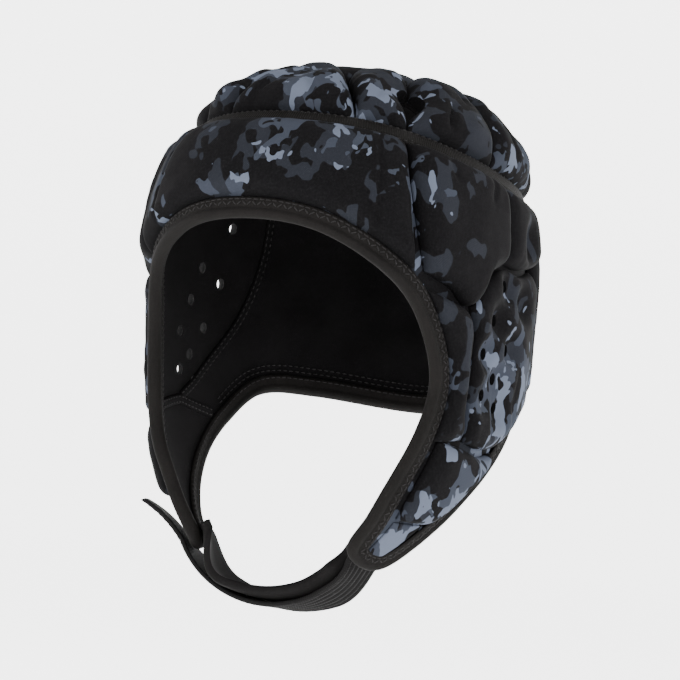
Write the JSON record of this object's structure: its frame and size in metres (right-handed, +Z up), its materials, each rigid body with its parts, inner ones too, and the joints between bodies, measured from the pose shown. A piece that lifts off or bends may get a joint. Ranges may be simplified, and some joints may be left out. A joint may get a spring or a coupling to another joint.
{
  "type": "rugby scrum cap",
  "caption": "Soft padded head guard for rugby: foam pads on a dark lining, open face and ears vented, with a strap under the chin.",
  "frame": {"origin": "inside of the crown, where the top of the head meets the lining", "axes": "+Z up, -Y towards the face, +X towards the wearer's left ear"},
  "size_m": [0.1726, 0.2045, 0.254],
  "materials": {
    "printed_cloth": "matt stretch cloth printed with a dark camouflage",
    "lining_cloth": "brushed black lining",
    "woven_tape": "woven seam tape",
    "binding": "stitched edge binding",
    "chin_padding": "brushed padding",
    "strap_webbing": "ribbed elastic webbing"
  },
  "bodies": {
    "root": {"crown_top_pad": "printed_cloth", "crown_front_pad": "printed_cloth", "crown_back_pad": "printed_cloth", "brow_pad": "printed_cloth", "nape_pad": "printed_cloth", "left_crown_front_side_pad": "printed_cloth", "left_crown_side_pad": "printed_cloth", "left_crown_rear_side_pad": "printed_cloth", "left_crown_back_side_pad": "printed_cloth", "left_temple_pad": "printed_cloth", "left_rear_side_pad": "printed_cloth", "left_ear_strip_pad": "printed_cloth", "left_ear_pad": "printed_cloth", "left_back_pad": "printed_cloth", "left_cheek_pad": "printed_cloth", "left_cheek_flap": "printed_cloth", "right_crown_front_side_pad": "printed_cloth", "right_crown_side_pad": "printed_cloth", "right_crown_rear_side_pad": "printed_cloth", "right_crown_back_side_pad": "printed_cloth", "right_temple_pad": "printed_cloth", "right_rear_side_pad": "printed_cloth", "right_ear_strip_pad": "printed_cloth", "right_ear_pad": "printed_cloth", "right_back_pad": "printed_cloth", "right_cheek_pad": "printed_cloth", "right_cheek_flap": "printed_cloth", "crown_lining": "lining_cloth", "brow_lining": "lining_cloth", "back_lining": "lining_cloth", "left_side_lining": "lining_cloth", "left_cheek_lining": "lining_cloth", "right_side_lining": "lining_cloth", "right_cheek_lining": "lining_cloth", "crown_tape": "woven_tape", "rim_binding": "binding", "chin_tongue": "chin_padding", "chin_strap": "strap_webbing"}
  },
  "joints": []
}
